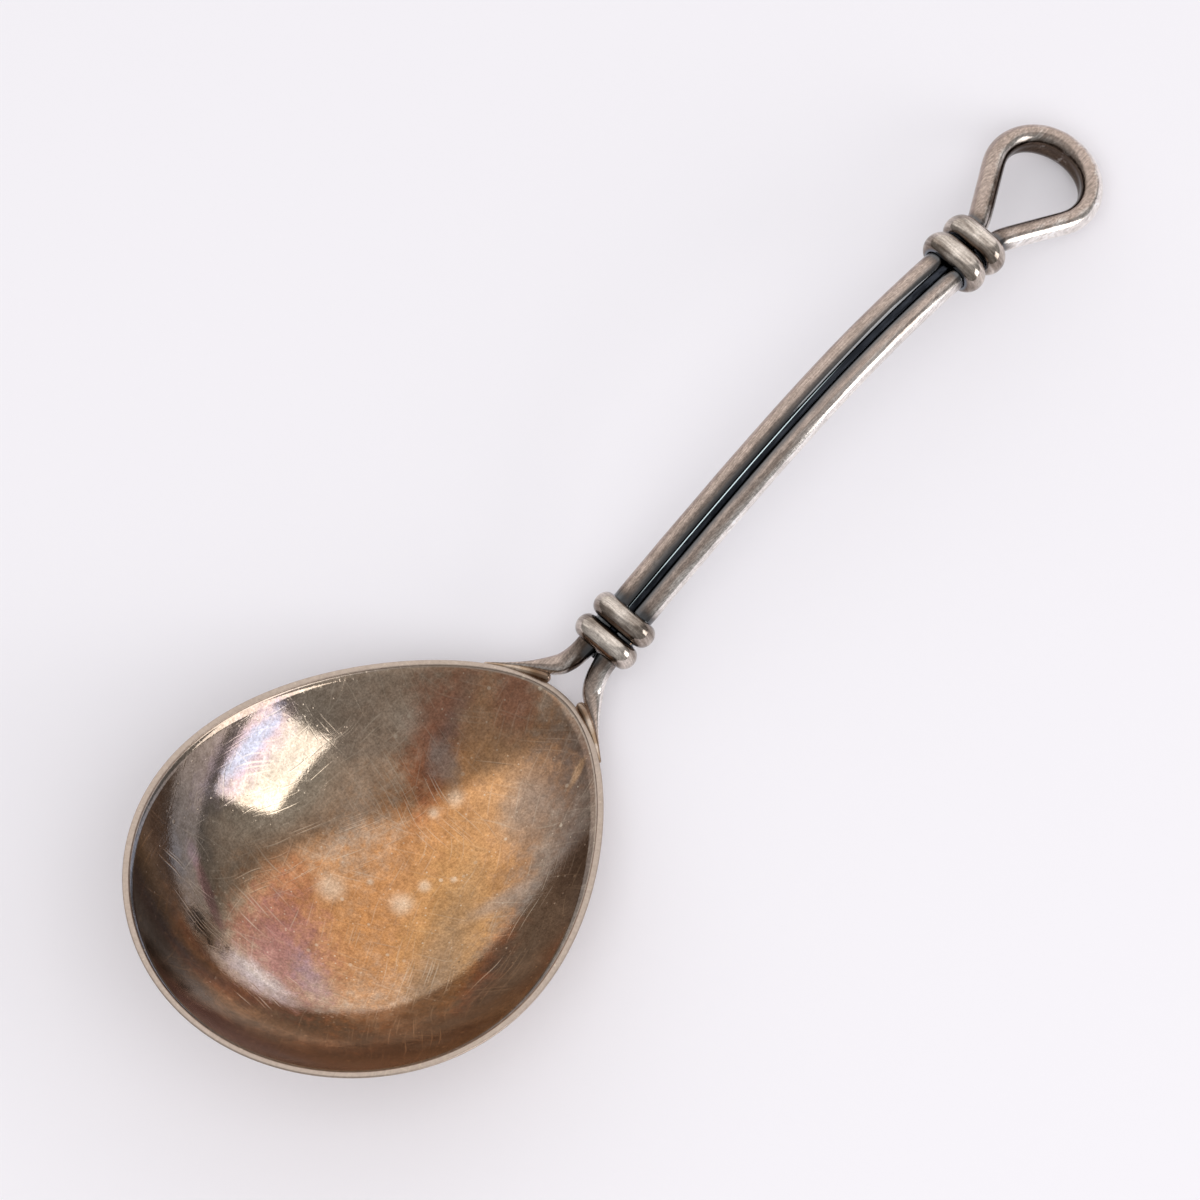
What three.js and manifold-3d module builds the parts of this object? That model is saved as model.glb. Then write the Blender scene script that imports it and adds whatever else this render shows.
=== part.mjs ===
// A silver serving spoon: a fig-shaped bowl raised from sheet, and a handle bent
// from one round wire. The wire's two ends are legs soldered along the rim, its two
// halves lie side by side as the stem, and its bend is a hanging loop. Two pairs of
// half-round rings bind the stem. Millimetres, +Z up, +X from the bowl to the loop.
import * as THREE from 'three';
import { mergeVertices } from 'three/addons/utils/BufferGeometryUtils.js';
import Module from 'manifold-3d';

// Bowl, with the rim in one plane. Distances along it start at the rim's handle end.
const BOWL_LENGTH = 71.9;
const BOWL_MIDDLE_WIDTH = 53.2;
const BOWL_DEPTH = 13.5;
const BOWL_DEEPEST = 36;
const BOWL_WALL = 0.9;
const RIM_BAND = 0.95;
const RIM_ROUND = 0.16;
// Shape numbers: how much fuller the far half is, how drawn-in both ends are, and how
// quickly the side of the bowl steepens towards the rim.
const EGG_LEAN = 0.164;
const EGG_PINCH = 0.108;
const SIDE_POWER = 2.45;

// Handle arch in the upright plane, from the rim's handle end to the loop's far end.
const HANDLE_REACH = 89.8;
const HANDLE_RISE = 29;
const LEAVING_ANGLE = 36.7;
const LEAVING_PULL = 53;
const ENDING_ANGLE = -7.2;
const ENDING_PULL = 39.8;

// Handle wire. The two halves of the stem stay apart by the thickness of the solder.
const WIRE = 2.9;
const WIRE_GAP = 0.2;

// Hanging loop: its length past the upper collar, its width outside, how far the hand
// bent it to the left, and the wire's section at the far end, which is hammered taller
// and creased along its inner side. The hammering grows between two shares of each arm.
const LOOP_LENGTH = 20.9;
const LOOP_WIDTH = 16.1;
const LOOP_LEAN = 1.1;
const LOOP_WIRE_WIDTH = 3.15;
const LOOP_WIRE_HEIGHT = 4.5;
const LOOP_CREASE = 0.3;
const LOOP_FILLET = 1.8;
const HAMMER_START = 0.4;
const HAMMER_END = 0.9;

// Legs: where they touch the rim and where they end on it, measured across from the
// middle, the wire's section at both places, how far their tips lie under the edge of the
// rim and how far they climb from there, the gaps that the solder fills, how quickly they
// taper, and how far the bend between rim and collar is pulled along each of them.
const LEG_TOUCH = 2.5;
const LEG_SPREAD = 9.6;
const LEG_TIP_WIDTH = 0.15;
const LEG_TIP_HEIGHT = 0.6;
const LEG_TOUCH_WIDTH = 2.8;
const LEG_TOUCH_HEIGHT = 2.5;
const LEG_DROP = 0.5;
const LEG_CLIMB = 1.3;
const LEG_TIP_GAP = 0.2;
const LEG_TOUCH_GAP = 0.8;
const LEG_TAPER = 2.2;
const LEG_TURN_PULL = 1.1;
const LEG_COLLAR_PULL = 1.6;

// Binding rings of half-round wire. Each collar is a pair of them.
const RING_HEIGHT = 1.45;
const LOWER_RING_WIDTH = 3.25;
const LOWER_RING_SPACING = 3.45;
const LOWER_COLLAR_AT = 9.95;
const UPPER_RING_WIDTH = 3.5;
const UPPER_RING_SPACING = 3.9;
const RING_FIT = 0.08;

// Solder: how high it stands in the stem's groove above the middle of the wires, how far
// it runs out between the legs, how thick the lump is between leg and rim, how far that
// swells as a share of the gap, and the gap that solder keeps to what it joins.
const STEM_SOLDER_RISE = 1.05;
const STEM_SOLDER_RUNOUT = 1;
const LEG_SOLDER_HEIGHT = 0.9;
const LEG_SOLDER_SWELL = 0.25;
const SOLDER_FIT = 0.06;

// The worn flat under the bowl, where the spoon stands.
const WORN_DEPTH = 0.22;

// Facets. The first ring of the bowl lies at this share of a step from its deepest point.
const BOWL_SEGMENTS = 72;
const BOWL_RINGS = 13;
const WIRE_SIDES = 20;
const LEG_STEPS = 9;
const STEM_STEPS = 22;
const LOOP_STEPS = 22;
const RING_TURN_STEPS = 10;
const RING_SECTION_STEPS = 8;
const SOLDER_STEPS = 10;
const FIRST_RING = 0.8;

// Fineness of the sums: halvings in a search, the turn that stands for a tangent, and the
// divisions that measure the arch.
const HALVINGS = 50;
const TINY_TURN = 1e-4;
const ARCH_DIVISIONS = 600;

const wasm = await Module();
wasm.setup();

const wireRadius = WIRE / 2;
const wireCentre = (WIRE + WIRE_GAP) / 2;

// Closed surface through rings of points: the ends are capped, or joined to each other.
function skin(rings, joined = false) {
  const sides = rings[0].length;
  const points = rings.flat();
  const index = [];
  const spans = joined ? rings.length : rings.length - 1;
  for (let i = 0; i < spans; i += 1) {
    const near = i * sides;
    const far = ((i + 1) % rings.length) * sides;
    for (let j = 0; j < sides; j += 1) {
      const next = (j + 1) % sides;
      index.push(near + j, near + next, far + next);
      index.push(near + j, far + next, far + j);
    }
  }
  if (!joined) {
    const last = (rings.length - 1) * sides;
    const firstCentre = points.push(middle(rings[0])) - 1;
    const lastCentre = points.push(middle(rings[rings.length - 1])) - 1;
    for (let j = 0; j < sides; j += 1) {
      const next = (j + 1) % sides;
      index.push(firstCentre, next, j);
      index.push(lastCentre, last + j, last + next);
    }
  }
  const geometry = new THREE.BufferGeometry().setFromPoints(points);
  geometry.setIndex(volume(points, index) < 0 ? index.reverse() : index);
  return geometry;
}

function middle(ring) {
  const sum = new THREE.Vector3();
  ring.forEach((point) => sum.add(point));
  return sum.divideScalar(ring.length);
}

function volume(points, index) {
  const cross = new THREE.Vector3();
  let total = 0;
  for (let i = 0; i < index.length; i += 3) {
    cross.crossVectors(points[index[i + 1]], points[index[i + 2]]);
    total += points[index[i]].dot(cross) / 6;
  }
  return total;
}

function toManifold(geometry) {
  const bare = new THREE.BufferGeometry();
  bare.setAttribute('position', geometry.getAttribute('position'));
  bare.setIndex(geometry.getIndex());
  const merged = mergeVertices(bare);
  return new wasm.Manifold(new wasm.Mesh({
    numProp: 3,
    vertProperties: Float32Array.from(merged.getAttribute('position').array),
    triVerts: Uint32Array.from(merged.getIndex().array),
  }));
}

function fromManifold(solid) {
  const mesh = solid.getMesh();
  const geometry = new THREE.BufferGeometry();
  geometry.setAttribute('position', new THREE.BufferAttribute(mesh.vertProperties, 3));
  geometry.setIndex(new THREE.BufferAttribute(mesh.triVerts, 1));
  return geometry;
}

// The rim's outline. Turn 0 is its handle end and half a turn its tip; inset moves the
// point square to the outline, inwards where it is positive.
function rimPoint(turn, inset = 0) {
  const point = eggPoint(turn);
  const along = eggPoint(turn + TINY_TURN).sub(eggPoint(turn - TINY_TURN)).normalize();
  return point.add(new THREE.Vector3(-along.y, along.x, 0).multiplyScalar(inset));
}

function eggPoint(turn) {
  const lean = Math.cos(turn);
  const fullness = 1 - EGG_LEAN * lean - EGG_PINCH * lean * lean;
  const x = -BOWL_LENGTH / 2 * (1 - lean);
  const y = BOWL_MIDDLE_WIDTH / 2 * Math.sin(turn) * fullness;
  return new THREE.Vector3(x, y, 0);
}

// The turn at which the near end of the rim has reached this far from the middle.
function rimTurnAt(across) {
  let low = 0;
  let high = Math.PI / 2;
  for (let i = 0; i < HALVINGS; i += 1) {
    const turn = (low + high) / 2;
    if (eggPoint(turn).y < across) low = turn;
    else high = turn;
  }
  return low;
}

function bowlRing(inset, share, depth) {
  const deepest = new THREE.Vector3(-BOWL_DEEPEST, 0, 0);
  const drop = depth * (1 - share ** SIDE_POWER);
  return Array.from({ length: BOWL_SEGMENTS }, (_, i) => {
    const point = rimPoint(2 * Math.PI * i / BOWL_SEGMENTS, inset);
    point.lerpVectors(deepest, point, share);
    return point.setZ(-drop);
  });
}

function makeBowl() {
  const shares = Array.from({ length: BOWL_RINGS }, (_, i) => (i + FIRST_RING) / BOWL_RINGS);
  const inside = shares.map((share) => bowlRing(RIM_BAND, share, BOWL_DEPTH));
  const outside = shares.map((share) => bowlRing(0, share, BOWL_DEPTH + BOWL_WALL));
  const rim = [
    bowlRing(RIM_BAND, 1, BOWL_DEPTH).map((point) => point.setZ(-RIM_ROUND)),
    bowlRing(RIM_BAND - RIM_ROUND, 1, BOWL_DEPTH),
    bowlRing(RIM_ROUND, 1, BOWL_DEPTH),
    bowlRing(0, 1, BOWL_DEPTH).map((point) => point.setZ(-RIM_ROUND)),
  ];
  return skin([...inside, ...rim, ...outside.reverse()]);
}

// The middle line of the handle, and the directions along it and square to it.
function makeArch() {
  const pull = (angle, length) => new THREE.Vector3(length, 0, 0)
    .applyAxisAngle(new THREE.Vector3(0, -1, 0), THREE.MathUtils.degToRad(angle));
  const start = new THREE.Vector3(0, 0, 0);
  const end = new THREE.Vector3(HANDLE_REACH, 0, HANDLE_RISE);
  const arch = new THREE.CubicBezierCurve3(
    start,
    start.clone().add(pull(LEAVING_ANGLE, LEAVING_PULL)),
    end.clone().sub(pull(ENDING_ANGLE, ENDING_PULL)),
    end,
  );
  arch.arcLengthDivisions = ARCH_DIVISIONS;
  return arch;
}

const arch = makeArch();
const archLength = arch.getLength();
const loopStart = archLength - LOOP_LENGTH + LOOP_WIRE_WIDTH / 2;
const upperCollarAt = loopStart - (UPPER_RING_SPACING + UPPER_RING_WIDTH) / 2;
const lowerCollarStart = LOWER_COLLAR_AT - (LOWER_RING_SPACING + LOWER_RING_WIDTH) / 2;

function handleFrame(along, across = 0) {
  const share = along / archLength;
  const forward = arch.getTangentAt(share);
  return {
    point: arch.getPointAt(share).setY(across),
    forward,
    up: new THREE.Vector3(-forward.z, 0, forward.x),
  };
}

// Where a leg lies against the rim: this far along the touching stretch, from 0 at the
// crotch to 1 at the thinned tip, with the gap there and the wire's section.
function legOnRim(share) {
  const turn = THREE.MathUtils.lerp(rimTurnAt(LEG_TOUCH), rimTurnAt(LEG_SPREAD), share);
  const stoutness = (1 - share) ** LEG_TAPER;
  const width = THREE.MathUtils.lerp(LEG_TIP_WIDTH, LEG_TOUCH_WIDTH, stoutness);
  const height = THREE.MathUtils.lerp(LEG_TOUCH_HEIGHT, LEG_TIP_HEIGHT, share);
  const gap = THREE.MathUtils.lerp(LEG_TIP_GAP, LEG_TOUCH_GAP, stoutness);
  const climb = LEG_CLIMB * stoutness;
  const point = rimPoint(turn, -(gap + width / 2)).setZ(climb - LEG_DROP);
  return { turn, gap, climb, width, height, point };
}

// Stations of the left half of the hairpin, from the leg's tip to the end of the loop.
function legStations() {
  const flat = new THREE.Vector3(0, 0, 1);
  const touching = Array.from({ length: LEG_STEPS }, (_, i) => {
    const { point, width, height } = legOnRim(1 - i / LEG_STEPS);
    return { point, up: flat, halfWidth: width / 2, halfHeight: height / 2, crease: 0, lean: 0 };
  });
  const touch = legOnRim(0).point;
  const leaving = touch.clone().sub(legOnRim(1 / LEG_STEPS).point).setLength(LEG_TURN_PULL);
  const collar = handleFrame(lowerCollarStart, wireCentre);
  const route = new THREE.CubicBezierCurve3(
    touch,
    touch.clone().add(leaving),
    collar.point.clone().addScaledVector(collar.forward, -LEG_COLLAR_PULL),
    collar.point,
  );
  const free = Array.from({ length: LEG_STEPS }, (_, i) => {
    const share = i / LEG_STEPS;
    const rounded = THREE.MathUtils.smoothstep(share, 0, 1);
    return {
      point: route.getPoint(share),
      up: flat.clone().lerp(collar.up, rounded).normalize(),
      halfWidth: THREE.MathUtils.lerp(LEG_TOUCH_WIDTH, WIRE, rounded) / 2,
      halfHeight: THREE.MathUtils.lerp(LEG_TOUCH_HEIGHT, WIRE, rounded) / 2,
      crease: 0,
      lean: 0,
    };
  });
  return [...touching, ...free];
}

function stemStations() {
  return Array.from({ length: STEM_STEPS }, (_, i) => {
    const along = THREE.MathUtils.lerp(lowerCollarStart, loopStart, i / STEM_STEPS);
    const frame = handleFrame(along, wireCentre);
    return { ...frame, halfWidth: wireRadius, halfHeight: wireRadius, crease: 0, lean: 0 };
  });
}

// The loop laid flat: distance along the handle and distance across it. Each arm leaves
// the collar along the stem, opens in a fillet and runs straight onto the round end.
function loopOutline() {
  const bend = (LOOP_WIDTH - LOOP_WIRE_WIDTH) / 2;
  const centre = new THREE.Vector2(archLength - bend, 0);
  const start = new THREE.Vector2(loopStart, wireCentre);
  const corner = new THREE.Vector2(loopStart + LOOP_FILLET / 2, wireCentre);
  const toCentre = centre.clone().sub(corner);
  const opening = toCentre.angle() + Math.asin(bend / toCentre.length());
  const armStart = corner.clone().add(
    new THREE.Vector2(Math.cos(opening), Math.sin(opening)).multiplyScalar(LOOP_FILLET / 2),
  );
  const touch = opening + Math.PI / 2;
  const armEnd = centre.clone().add(
    new THREE.Vector2(Math.cos(touch), Math.sin(touch)).multiplyScalar(bend),
  );
  const path = new THREE.CurvePath();
  path.add(new THREE.QuadraticBezierCurve(start, corner, armStart));
  path.add(new THREE.LineCurve(armStart, armEnd));
  path.add(new THREE.EllipseCurve(centre.x, centre.y, bend, bend, touch, 0, true));
  return path;
}

function loopStations() {
  return loopOutline().getSpacedPoints(LOOP_STEPS).map((spot, i) => {
    const frame = handleFrame(Math.min(spot.x, archLength), spot.y);
    const hammered = THREE.MathUtils.smoothstep(i / LOOP_STEPS, HAMMER_START, HAMMER_END);
    return {
      ...frame,
      halfWidth: THREE.MathUtils.lerp(WIRE, LOOP_WIRE_WIDTH, hammered) / 2,
      halfHeight: THREE.MathUtils.lerp(WIRE, LOOP_WIRE_HEIGHT, hammered) / 2,
      crease: LOOP_CREASE * hammered,
      lean: LOOP_LEAN * (spot.x - loopStart) / (archLength - loopStart),
    };
  });
}

function mirrored(station) {
  const flip = new THREE.Vector3(1, -1, 1);
  return {
    ...station,
    point: station.point.clone().multiply(flip),
    up: station.up.clone().multiply(flip),
  };
}

// One ring of the wire's surface. Its first point faces the inner side of the loop,
// where the crease runs.
function wireRing(station, tangent) {
  const side = new THREE.Vector3().crossVectors(tangent, station.up).normalize();
  const up = new THREE.Vector3().crossVectors(side, tangent).normalize();
  return Array.from({ length: WIRE_SIDES }, (_, i) => {
    const angle = 2 * Math.PI * i / WIRE_SIDES;
    const pinch = i === 0 ? station.crease : 0;
    return station.point.clone()
      .addScaledVector(side, (station.halfWidth - pinch) * Math.cos(angle))
      .addScaledVector(up, station.halfHeight * Math.sin(angle));
  });
}

function makeHandleWire() {
  const half = [...legStations(), ...stemStations(), ...loopStations()];
  const back = half.slice(0, -1).reverse().map(mirrored);
  const stations = [...half, ...back];
  stations.forEach(({ point, lean }) => point.setY(point.y + lean));
  return skin(stations.map((station, i) => {
    const before = stations[Math.max(i - 1, 0)].point;
    const after = stations[Math.min(i + 1, stations.length - 1)].point;
    return wireRing(station, after.clone().sub(before).normalize());
  }));
}

// A ring of half-round wire bent flat round both halves of the stem.
function makeRing(along, width) {
  const { point, forward, up } = handleFrame(along);
  const left = new THREE.Vector3(0, 1, 0);
  const seat = wireRadius + RING_FIT;
  const section = Array.from({ length: RING_SECTION_STEPS + 1 }, (_, i) => {
    const angle = Math.PI * i / RING_SECTION_STEPS;
    return { axial: width / 2 * Math.cos(angle), rise: RING_HEIGHT * Math.sin(angle) };
  });
  const rings = [];
  for (const side of [1, -1]) {
    for (let i = 0; i <= RING_TURN_STEPS; i += 1) {
      const angle = side * (Math.PI / 2 - Math.PI * i / RING_TURN_STEPS);
      const outward = left.clone().multiplyScalar(side * Math.cos(angle))
        .addScaledVector(up, Math.sin(angle));
      const centre = point.clone().addScaledVector(left, side * wireCentre);
      rings.push(section.map(({ axial, rise }) => centre.clone()
        .addScaledVector(outward, seat + rise)
        .addScaledVector(forward, axial)));
    }
  }
  return skin(rings, true);
}

// Solder between the stem wires, right through both collars: it thins to a web where
// they nearly touch and fills the groove above and below, hollow towards each wire.
function makeStemSolder() {
  const reach = wireRadius + SOLDER_FIT;
  const heights = Array.from({ length: SOLDER_STEPS + 1 }, (_, i) => (
    STEM_SOLDER_RISE * (2 * i / SOLDER_STEPS - 1)
  ));
  const flank = heights.map((height) => ({
    across: wireCentre - Math.sqrt(reach ** 2 - height ** 2),
    height,
  }));
  const section = [
    ...flank,
    ...flank.map(({ across, height }) => ({ across: -across, height })).reverse(),
  ];
  const start = lowerCollarStart - STEM_SOLDER_RUNOUT;
  return skin(Array.from({ length: STEM_STEPS + 1 }, (_, i) => {
    const { point, up } = handleFrame(THREE.MathUtils.lerp(start, loopStart, i / STEM_STEPS));
    return section.map(({ across, height }) => point.clone().setY(across)
      .addScaledVector(up, height));
  }));
}

// The lump of solder in the narrowing gap between one leg and the rim. Its top slopes up
// from the rim to the leg.
function makeLegSolder(side) {
  return skin(Array.from({ length: SOLDER_STEPS + 1 }, (_, i) => {
    const { turn, gap, climb } = legOnRim(i / SOLDER_STEPS);
    const inner = rimPoint(turn, -SOLDER_FIT);
    const outer = rimPoint(turn, SOLDER_FIT - gap);
    const top = LEG_SOLDER_HEIGHT / 2 - LEG_DROP;
    const bottom = -LEG_SOLDER_HEIGHT / 2 - LEG_DROP;
    const swell = LEG_SOLDER_SWELL * outer.distanceTo(inner);
    return [
      inner.clone().setZ(bottom),
      outer.clone().setZ(bottom),
      outer.clone().setZ(top + climb),
      inner.clone().lerp(outer, 0.5).setZ(top + climb / 2 + swell),
      inner.clone().setZ(top),
    ].map((point) => point.setY(side * point.y));
  }));
}

// The lowest point of a piece with the spoon tipped towards its loop.
function lowest(geometry, tilt) {
  const places = geometry.getAttribute('position');
  let low = Infinity;
  for (let i = 0; i < places.count; i += 1) {
    low = Math.min(low, places.getZ(i) * Math.cos(tilt) - places.getX(i) * Math.sin(tilt));
  }
  return low;
}

// The tilt at which the spoon lies on its worn bowl and on the end of its loop.
function restingTilt(bowl, wire) {
  let low = 0;
  let high = Math.PI / 4;
  for (let i = 0; i < HALVINGS; i += 1) {
    const tilt = (low + high) / 2;
    if (lowest(bowl, tilt) + WORN_DEPTH < lowest(wire, tilt)) low = tilt;
    else high = tilt;
  }
  return low;
}

function wearFlat(bowl, tilt) {
  const level = lowest(bowl, tilt) + WORN_DEPTH;
  const cut = new THREE.BoxGeometry(2 * BOWL_LENGTH, 2 * BOWL_MIDDLE_WIDTH, BOWL_DEPTH)
    .translate(-BOWL_LENGTH / 2, 0, level - BOWL_DEPTH / 2)
    .rotateY(-tilt);
  cut.deleteAttribute('normal');
  cut.deleteAttribute('uv');
  return fromManifold(toManifold(bowl).subtract(toManifold(cut)));
}

function finish(color, roughness) {
  return new THREE.MeshStandardMaterial({ color, roughness, metalness: 1 });
}

function piece(name, geometry, material) {
  geometry.computeVertexNormals();
  const mesh = new THREE.Mesh(geometry, material);
  mesh.name = name;
  return mesh;
}

function assemble() {
  const roundBowl = makeBowl();
  const wire = makeHandleWire();
  const tilt = restingTilt(roundBowl, wire);
  const spoon = new THREE.Group();
  spoon.add(
    piece('bowl', wearFlat(roundBowl, tilt), finish(0x8c8074, 0.32)),
    piece('handle_wire', wire, finish(0xb4a89c, 0.3)),
    piece('stem_solder', makeStemSolder(), finish(0x1c1f26, 0.35)),
    piece('left_leg_solder', makeLegSolder(1), finish(0x7d6750, 0.5)),
    piece('right_leg_solder', makeLegSolder(-1), finish(0x7d6750, 0.5)),
  );
  const collars = [
    ['lower_ring_bowl_side', LOWER_COLLAR_AT - LOWER_RING_SPACING / 2, LOWER_RING_WIDTH],
    ['lower_ring_stem_side', LOWER_COLLAR_AT + LOWER_RING_SPACING / 2, LOWER_RING_WIDTH],
    ['upper_ring_stem_side', upperCollarAt - UPPER_RING_SPACING / 2, UPPER_RING_WIDTH],
    ['upper_ring_loop_side', upperCollarAt + UPPER_RING_SPACING / 2, UPPER_RING_WIDTH],
  ];
  for (const [name, along, width] of collars) {
    spoon.add(piece(name, makeRing(along, width), finish(0xb9ac9e, 0.28)));
  }
  spoon.rotation.y = tilt;
  const object = new THREE.Group();
  object.add(spoon);
  const box = new THREE.Box3().setFromObject(object, true);
  spoon.position.set(-(box.min.x + box.max.x) / 2, 0, -box.min.z);
  return object;
}

export default assemble();
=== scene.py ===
"""Looks of a tarnished silver serving spoon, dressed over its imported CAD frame."""

import logging
import math
from collections.abc import Iterable
from dataclasses import dataclass
from enum import Enum
from typing import Any

import bmesh
import bpy
from mathutils import Matrix, Vector, noise
from mathutils.bvhtree import BVHTree


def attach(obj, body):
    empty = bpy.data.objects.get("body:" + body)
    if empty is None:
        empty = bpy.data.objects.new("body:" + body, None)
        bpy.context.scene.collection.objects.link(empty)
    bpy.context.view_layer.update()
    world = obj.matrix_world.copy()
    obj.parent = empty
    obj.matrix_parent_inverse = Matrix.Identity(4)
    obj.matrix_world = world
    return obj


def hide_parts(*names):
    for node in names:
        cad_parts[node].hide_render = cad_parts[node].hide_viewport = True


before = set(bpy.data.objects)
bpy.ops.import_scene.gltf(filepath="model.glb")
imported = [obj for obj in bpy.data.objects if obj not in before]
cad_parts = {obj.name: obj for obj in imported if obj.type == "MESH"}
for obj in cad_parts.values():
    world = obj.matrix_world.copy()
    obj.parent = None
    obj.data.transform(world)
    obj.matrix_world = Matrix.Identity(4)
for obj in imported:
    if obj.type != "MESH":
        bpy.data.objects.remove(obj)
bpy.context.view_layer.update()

LOG = logging.getLogger("spoon")
# Lengths are written in millimetres, and MM takes them to metres.
MM = 0.001
FAR = 1000.0
WELD = 0.001
TOOL_MARK = 0.03
QUAD_BEND = 35.0
QUAD_SKEW = 70.0
NO_CREASE = 180.0
PHOTO_SIDE = 1200
NOISE_ENDS = (0.3, 0.7)
SOFT = {"interpolation_type": "SMOOTHSTEP"}
WARM_SWING = (0.93, 1.0, 1.07)
LAMP_TARGET = Vector((-0.04, 0, 0))

Socket = bpy.types.NodeSocket
Tree = bpy.types.ShaderNodeTree
Colour = tuple[float, float, float, float]
Layers = tuple[tuple[float, float], ...]


class Slot(Enum):
    """The record's material slots."""

    BOWL = "bowl_silver"
    WIRE = "wire_silver"
    RING = "ring_silver"
    GROOVE = "groove_solder"
    LEG = "leg_solder"


class Wall(Enum):
    """Which surface of the bowl a ring of its mesh lies on."""

    INSIDE = "inside"
    RIM = "rim"
    OUTSIDE = "outside"


def linear(colour: str) -> Colour:
    """Turns an sRGB hex colour into linear light.

    Args:
        colour: Six hex digits after a hash sign.

    Returns:
        Linear red, green and blue, and an alpha of 1.
    """
    channels = (int(colour[i:i + 2], 16) / 255 for i in (1, 3, 5))
    red, green, blue = (c / 12.92 if c <= 0.04045 else ((c + 0.055) / 1.055) ** 2.4 for c in channels)
    return red, green, blue, 1.0


def add(tree: Tree, kind: str, inputs: dict[str | int, Any] | None = None, **settings: Any) -> bpy.types.Node:
    """Adds a shader node, sets its properties and feeds its sockets.

    Args:
        tree: Node tree that gets the node.
        kind: The node's type, without the word ShaderNode.
        inputs: Socket name or number, and the constant or the socket that feeds it.
        settings: Properties of the node, such as its operation.

    Returns:
        The new node.
    """
    node = tree.nodes.new("ShaderNode" + kind)
    for key, value in settings.items():
        setattr(node, key, value)
    for key, value in (inputs or {}).items():
        if isinstance(value, Socket):
            tree.links.new(value, node.inputs[key])
        else:
            node.inputs[key].default_value = value
    return node


def span(side: str, ends: tuple[float, float]) -> dict[str, float]:
    """Names the two ends of a range by their sockets, with the side From or To."""
    return {side + " Min": ends[0], side + " Max": ends[1]}


@dataclass(frozen=True)
class Fade:
    """A change along one direction on the table: its ends, in millimetres, and its values there."""

    way: tuple[float, float, float]
    ends: tuple[float, float]
    values: tuple[float, float] = (0.0, 1.0)

    def value(self, tree: Tree, place: Socket) -> Socket:
        """Builds the change.

        Args:
            tree: Node tree that gets the nodes.
            place: Object coordinates.

        Returns:
            A socket that runs from the first value to the second.
        """
        along = add(tree, "VectorMath", {0: place, 1: self.way}, operation="DOT_PRODUCT")
        start, end = (distance * MM for distance in self.ends)
        return add(tree, "MapRange", {"Value": along.outputs["Value"], **span("From", (start, end)),
                                      **span("To", self.values)}).outputs[0]


@dataclass(frozen=True)
class Stain:
    """A patch on the table plan of the spoon, in millimetres: mostly tarnish, and also the shape of painted
    highlights and glints.
    """

    centre: tuple[float, float]
    radii: tuple[float, float]
    turn: float = 0.0
    softness: float = 0.4
    ragged: float = 0.5

    def mask(self, tree: Tree, place: Socket, wobble: Socket) -> Socket:
        """Builds the patch.

        Args:
            tree: Node tree that gets the nodes.
            place: Object coordinates.
            wobble: Noise that makes its edge uneven.

        Returns:
            A socket that is 1 inside the patch and 0 outside.
        """
        local = add(tree, "Mapping", {
            "Vector": place,
            "Location": (self.centre[0] * MM, self.centre[1] * MM, 0),
            "Rotation": (0, 0, math.radians(self.turn)),
            "Scale": (self.radii[0] * MM, self.radii[1] * MM, FAR),
        }, vector_type="TEXTURE")
        reach = add(tree, "VectorMath", {0: local.outputs["Vector"]}, operation="LENGTH")
        shift = add(tree, "Math", {0: wobble, 1: -2 * self.ragged, 2: reach.outputs["Value"]},
                    operation="MULTIPLY_ADD")
        edge = 1 - self.ragged
        return add(tree, "MapRange", {"Value": shift.outputs[0],
                                      **span("From", (edge + self.softness, edge - self.softness))},
                   **SOFT).outputs[0]


@dataclass(frozen=True)
class Scratches:
    """Fine scratches that run one way, in millimetres.

    A real one is a few hundredths of a millimetre wide. These are drawn a tenth wide, so that they show.
    """

    turn: float
    length: float
    spacing: float
    share: float
    strength: float
    centre: tuple[float, float] = (0.0, 0.0)
    radii: tuple[float, float] = (200.0, 200.0)
    cell_to_length: float = 2.5
    edge: tuple[float, float] = (0.24, 0.06)

    def mask(self, tree: Tree, place: Socket, wobble: Socket) -> Socket:
        """Builds the scratches.

        Args:
            tree: Node tree that gets the nodes.
            place: Object coordinates, bent a little so that the scratches curve.
            wobble: Noise that breaks up the patch they lie in.

        Returns:
            A socket that is 1 on a scratch and 0 beside it.
        """
        local = add(tree, "Mapping", {
            "Vector": place,
            "Rotation": (0, 0, math.radians(self.turn)),
            "Scale": (self.cell_to_length * self.length * MM, self.spacing * MM, FAR),
        }, vector_type="TEXTURE")
        cell = add(tree, "TexVoronoi", {"Vector": local.outputs["Vector"], "Scale": 1.0},
                   voronoi_dimensions="2D")
        line = add(tree, "MapRange", {"Value": cell.outputs["Distance"], **span("From", self.edge)}, **SOFT)
        chosen = add(tree, "MapRange", {"Value": cell.outputs["Color"], **span("From", (self.share, 0.0)),
                                        "To Max": self.strength})
        there = Stain(self.centre, self.radii, self.turn, softness=0.5, ragged=0.6).mask(tree, place, wobble)
        line = add(tree, "Math", {0: line.outputs[0], 1: chosen.outputs[0]}, operation="MULTIPLY")
        return add(tree, "Math", {0: line.outputs[0], 1: there}, operation="MULTIPLY").outputs[0]


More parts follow.
